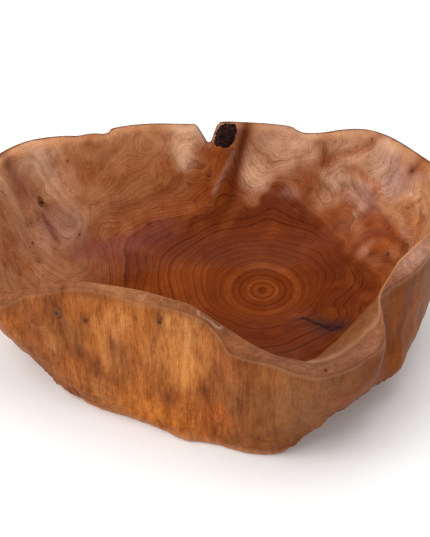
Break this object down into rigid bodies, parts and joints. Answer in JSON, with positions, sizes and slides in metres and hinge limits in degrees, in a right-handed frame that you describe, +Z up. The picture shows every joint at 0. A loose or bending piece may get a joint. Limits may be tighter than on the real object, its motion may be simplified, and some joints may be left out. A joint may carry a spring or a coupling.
{
  "type": "carved wooden bowl",
  "caption": "Free-standing bowl carved from one block of root wood, with a wandering lobed rim, a bark-edged notch in the back and a low flared lip at the front.",
  "frame": {"origin": "centre of the plan bounding box, on the flat underside", "axes": "+Z up out of the bowl's mouth, +X along the bowl's longest side, -Y towards the side with the low flared lip, so the notched rim is at +Y"},
  "size_m": [0.401, 0.302, 0.1302],
  "materials": {
    "varnished_wood": "satin varnish",
    "bark": "rough",
    "check_filler": "satin",
    "knot_wood": "satin"
  },
  "bodies": {
    "root": {"bowl_body": "varnished_wood", "bark_inclusion": "bark", "floor_check_filler": "check_filler", "knot_outer_left": "knot_wood", "knot_outer_middle": "knot_wood", "knot_outer_front": "knot_wood", "knot_inner_left": "knot_wood", "knot_rim_right": "knot_wood"}
  },
  "joints": []
}
